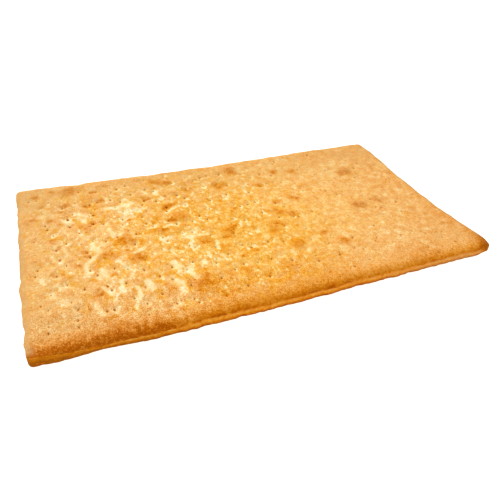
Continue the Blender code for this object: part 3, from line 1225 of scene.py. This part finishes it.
def linear(colour):  # a colour as it looks, 0..255, as the surface's own linear one
    shares = [c / 255 for c in colour]
    return (*(((c + 0.055) / 1.055) ** 2.4 / lightLevel if c > 0.04045 else c / 12.92 for c in shares), 1)


def toneRamp(tree, level, column):
    tones = tree.nodes.new("ShaderNodeValToRGB")
    elements = tones.color_ramp.elements
    while len(elements) < len(bakeTones):
        elements.new(0.5)
    for element, row in zip(elements, bakeTones):
        element.position = row[0]
        element.color = linear(row[column])
    tree.links.new(level, tones.inputs["Fac"])
    return tones.outputs["Color"]


def makeBakedColour():
    names = ("Bake", "Pale", "Golden", "Flour_and_shade", "Shade", "Speckle", "Break")
    group, given, result = newGroup(
        "bakedColour", [(name, "NodeSocketFloat", 0.0) for name in names], (("Color", "NodeSocketColor"),))
    bake, pale, golden, flour_and_shade, shade, speckle, broken = [given.outputs[name] for name in names]
    uneven = mathNode(group, "MULTIPLY", pale, mathNode(group, "ADD", broken, 1.0))
    crisp = smoothStep(group, uneven, *colouring["paleShows"])
    kept = mathNode(group, "SUBTRACT", 1.0, mathNode(group, "MULTIPLY", crisp, colouring["paleTakes"]))
    level = mathNode(group, "MULTIPLY", bake, kept)
    calmer = mathNode(group, "SUBTRACT", colouring["speckleFrom"], bake)
    level = mathNode(group, "ADD", level, mathNode(group, "MULTIPLY", speckle, calmer), clamp=True)
    level = mathNode(group, "MINIMUM", level, mathNode(group, "MAXIMUM", bake, colouring["speckleMost"]))
    colour = mixColour(group, golden, toneRamp(group, level, 2), toneRamp(group, level, 1))
    # flour and painted shade, where the dough isn't pale
    flourAndShadeShare = mathNode(group, "MULTIPLY", flour_and_shade, mathNode(group, "SUBTRACT", 1.0, crisp))
    colour = mixColour(group, flourAndShadeShare, colour, linear(flourAndShadeTone))
    shaded = mathNode(group, "MULTIPLY", shade, colouring["shadeShare"])
    colour = mixColour(group, shaded, colour, linear(shadeTone))
    group.links.new(colour, result.inputs["Color"])
    return group


grain = {
    "fineScale": 820.0,  # waves in a metre
    "coarseScale": 300.0,
    "breakScale": 300.0,
    "breakStrength": 1.8,
    "brownLess": 0.35,  # so that there are more pale specks than brown ones
    "warpScale": 260.0,
    "warp": 0.0030,
    "squeeze": 0.65,
    "paleDots": {"scale": 230.0, "reach": 0.46, "full": 0.24, "share": 0.34},
    "paleDotStrength": -0.42,
    "brownDots": {"scale": 150.0, "reach": 0.50, "full": 0.15, "share": 0.34},
    "brownDotStrength": 0.20,
    "weakestDot": 0.4,
    "fineRelief": 0.7,
    "coarseRelief": 1.0,
}


def signedNoise(tree, coordinates, scale, detail, weight):
    level = noiseNode(tree, coordinates, scale, detail).outputs["Fac"]
    return mathNode(tree, "MULTIPLY", mathNode(tree, "SUBTRACT", level, 0.5), weight)


def dotMask(tree, place, dots):  # scattered round dots of several sizes: 1 within one, 0 outside
    cells = tree.nodes.new("ShaderNodeTexVoronoi")
    cells.inputs["Scale"].default_value = dots["scale"]
    tree.links.new(place, cells.inputs["Vector"])
    dot = smoothStep(tree, cells.outputs["Distance"], dots["reach"], dots["full"])
    chance = tree.nodes.new("ShaderNodeSeparateColor")
    tree.links.new(cells.outputs["Color"], chance.inputs["Color"])
    chosen = mathNode(tree, "LESS_THAN", chance.outputs["Red"], dots["share"])
    least = grain["weakestDot"]
    weight = mathNode(tree, "MULTIPLY_ADD", chance.outputs["Green"], 1 - least, least)
    return mathNode(tree, "MULTIPLY", dot, mathNode(tree, "MULTIPLY", chosen, weight))


def makeCrustGrain():
    inputs = [
        ("Vector", "NodeSocketVector", None),
        ("Fine", "NodeSocketFloat", 0.5),
        ("Coarse", "NodeSocketFloat", 0.5),
        ("Dots", "NodeSocketFloat", 0.0),
    ]
    outputs = [(name, "NodeSocketFloat") for name in ("Speckle", "Break", "Height")]
    group, given, result = newGroup("crustGrain", inputs, outputs)
    place = given.outputs["Vector"]
    fine = signedNoise(group, place, grain["fineScale"], 2.0, given.outputs["Fine"])
    browner = mathNode(group, "MAXIMUM", fine, 0.0)
    fine = mathNode(group, "SUBTRACT", fine, mathNode(group, "MULTIPLY", browner, grain["brownLess"]))
    coarse = signedNoise(group, place, grain["coarseScale"], 2.0, given.outputs["Coarse"])
    pull = noiseNode(group, place, grain["warpScale"], 1.0).outputs["Color"]
    squeezed = vectorNode(group, "MULTIPLY", place, (1.0, grain["squeeze"], 1.0))
    moved = vectorNode(group, "MULTIPLY_ADD", pull, (grain["warp"],) * 3, squeezed)
    light = mathNode(group, "MULTIPLY", dotMask(group, moved, grain["paleDots"]), grain["paleDotStrength"])
    dark = mathNode(group, "MULTIPLY", dotMask(group, moved, grain["brownDots"]), grain["brownDotStrength"])
    dots = mathNode(group, "MULTIPLY", mathNode(group, "ADD", light, dark), given.outputs["Dots"])
    speckle = mathNode(group, "ADD", mathNode(group, "ADD", fine, coarse), dots)
    group.links.new(speckle, result.inputs["Speckle"])
    broken = signedNoise(group, place, grain["breakScale"], 3.0, grain["breakStrength"])
    group.links.new(broken, result.inputs["Break"])
    fineRelief = signedNoise(group, place, grain["fineScale"], 1.0, grain["fineRelief"])
    coarseRelief = signedNoise(group, place, grain["coarseScale"], 2.0, grain["coarseRelief"])
    group.links.new(mathNode(group, "ADD", fineRelief, coarseRelief), result.inputs["Height"])
    return group


bakedColour = makeBakedColour()
crustGrain = makeCrustGrain()
print("shader groups made")

looks = {  # one for each material of the bread, in the order of its faces' numbers
    "crustTop": {
        "fine": 1.45, "coarse": 0.70, "roughness": 0.75, "roughSpeckle": 0.6, "gloss": 0.015,
        "reliefStrength": 0.8, "reliefDepth": 0.0008,
    },
    "crustBand": {
        "fine": 0.60, "coarse": 0.70, "roughness": 0.78, "roughSpeckle": 0.6, "gloss": 0.015,
        "reliefStrength": 0.6, "reliefDepth": 0.0005,
    },
    "crustUnder": {
        "fine": 0.60, "coarse": 0.90, "roughness": 0.85, "roughSpeckle": 0.6, "gloss": 0.015,
        "reliefStrength": 0.6, "reliefDepth": 0.0005,
    },
}


def attributeNode(tree, name):
    node = tree.nodes.new("ShaderNodeAttribute")
    node.attribute_name = name
    return node.outputs["Fac"]


def crustMaterial(name, look):
    material = bpy.data.materials.new(name)
    material.use_nodes = True
    tree = material.node_tree
    shader = tree.nodes["Principled BSDF"]
    place = tree.nodes.new("ShaderNodeTexCoord").outputs["Object"]
    speckle = tree.nodes.new("ShaderNodeGroup")
    speckle.node_tree = crustGrain
    tree.links.new(place, speckle.inputs["Vector"])
    fine = mathNode(tree, "MULTIPLY", attributeNode(tree, "grit"), look["fine"])
    tree.links.new(fine, speckle.inputs["Fine"])
    speckle.inputs["Coarse"].default_value = look["coarse"]
    tree.links.new(attributeNode(tree, "lively"), speckle.inputs["Dots"])
    colour = tree.nodes.new("ShaderNodeGroup")
    colour.node_tree = bakedColour
    for label in ("Bake", "Pale", "Golden", "Flour_and_shade", "Shade"):
        tree.links.new(attributeNode(tree, label.lower()), colour.inputs[label])
    for label in ("Speckle", "Break"):
        tree.links.new(speckle.outputs[label], colour.inputs[label])
    tree.links.new(colour.outputs["Color"], shader.inputs["Base Color"])
    uneven = mathNode(tree, "MULTIPLY", speckle.outputs["Speckle"], look["roughSpeckle"])
    rough = mathNode(tree, "ADD", uneven, look["roughness"], clamp=True)
    tree.links.new(rough, shader.inputs["Roughness"])
    relief = tree.nodes.new("ShaderNodeBump")
    relief.inputs["Strength"].default_value = look["reliefStrength"]
    relief.inputs["Distance"].default_value = look["reliefDepth"]
    tree.links.new(speckle.outputs["Height"], relief.inputs["Height"])
    tree.links.new(relief.outputs["Normal"], shader.inputs["Normal"])
    shader.inputs["Specular IOR Level"].default_value = look["gloss"]
    return material


bread = makeBread()
for name, look in looks.items():
    bread.data.materials.append(crustMaterial(name, look))
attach(bread, "root")
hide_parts("pizza_base")
print("bread made")

# Stage, light and camera
studio = {
    "floorSize": 6.0,
    "floorBelow": 0.0001,  # under the bread, so that the two don't share a face
    "floorColour": (0.45, 0.45, 0.45),
    "floorRoughness": 0.9,
    "floorGlow": 1.0,  # the table is lit from under, so that it stays white beside the bread
    "glowColour": (1.0, 0.96, 0.90),
    "skyStrength": 0.49,
    "skyColour": (1.0, 0.91, 0.68),
    "lamps": {
        "key": {"power": 618.0, "colour": (0.90, 0.925, 1.0), "size": 4.2, "from": (-1.20, 5.10, 5.20)},
        "fill": {"power": 74.0, "colour": (1.0, 0.96, 0.90), "size": 3.5, "from": (1.60, -4.40, 1.90)},
    },
}


def makeFloor():
    half = studio["floorSize"] / 2
    data = bpy.data.meshes.new("floor")
    corners = [(-half, -half, 0), (half, -half, 0), (half, half, 0), (-half, half, 0)]
    data.from_pydata(corners, [], [(0, 1, 2, 3)])
    floor = bpy.data.objects.new("floor", data)
    floor.location.z = -studio["floorBelow"]
    bpy.context.scene.collection.objects.link(floor)
    material = bpy.data.materials.new("paleFloor")
    material.use_nodes = True
    shader = material.node_tree.nodes["Principled BSDF"]
    shader.inputs["Base Color"].default_value = (*studio["floorColour"], 1)
    shader.inputs["Roughness"].default_value = studio["floorRoughness"]
    shader.inputs["Specular IOR Level"].default_value = 0.0
    shader.inputs["Emission Color"].default_value = (*studio["glowColour"], 1)
    shader.inputs["Emission Strength"].default_value = studio["floorGlow"]
    data.materials.append(material)


def makeLight():
    world = bpy.data.worlds.new("softRoom")
    world.use_nodes = True
    background = world.node_tree.nodes["Background"]
    background.inputs["Color"].default_value = (*studio["skyColour"], 1)
    background.inputs["Strength"].default_value = studio["skyStrength"]
    bpy.context.scene.world = world
    for name, look in studio["lamps"].items():
        light = bpy.data.lights.new(name, "AREA")
        light.energy = look["power"]
        light.color = look["colour"]
        light.size = look["size"]
        lamp = bpy.data.objects.new(name, light)
        lamp.location = look["from"]
        lamp.rotation_euler = (-lamp.location).to_track_quat("-Z", "Y").to_euler()
        bpy.context.scene.collection.objects.link(lamp)


# The camera stands in front of the long side, to the left, and is held a little askew
view = {
    "target": (-0.0145, -0.0489, 0.0),
    "distance": 0.5875,
    "azimuth": -24.392,
    "elevation": 37.365,
    "roll": 3.687,
    "focalPixels": 486.75,
    "framePixels": 500,
    "sensorWidth": 36.0,  # millimetres
}


def makeCamera():
    azimuth = math.radians(view["azimuth"])
    elevation = math.radians(view["elevation"])
    level = math.cos(elevation)
    back = Vector((math.sin(azimuth) * level, -math.cos(azimuth) * level, math.sin(elevation)))
    right = (-back).cross(Vector((0, 0, 1))).normalized()
    up = back.cross(right)
    turn = Matrix((right, up, back)).transposed()
    turn = turn @ Matrix.Rotation(math.radians(view["roll"]), 3, "Z")
    data = bpy.data.cameras.new("photoView")
    data.sensor_width = view["sensorWidth"]
    data.lens = data.sensor_width * view["focalPixels"] / view["framePixels"]
    camera = bpy.data.objects.new("photoView", data)
    place = Vector(view["target"]) + back * view["distance"]
    camera.matrix_world = Matrix.Translation(place) @ turn.to_4x4()
    bpy.context.scene.collection.objects.link(camera)
    bpy.context.scene.camera = camera


makeFloor()
makeLight()
makeCamera()
bpy.context.scene.view_settings.view_transform = "Standard"
print("stage, light and camera set")
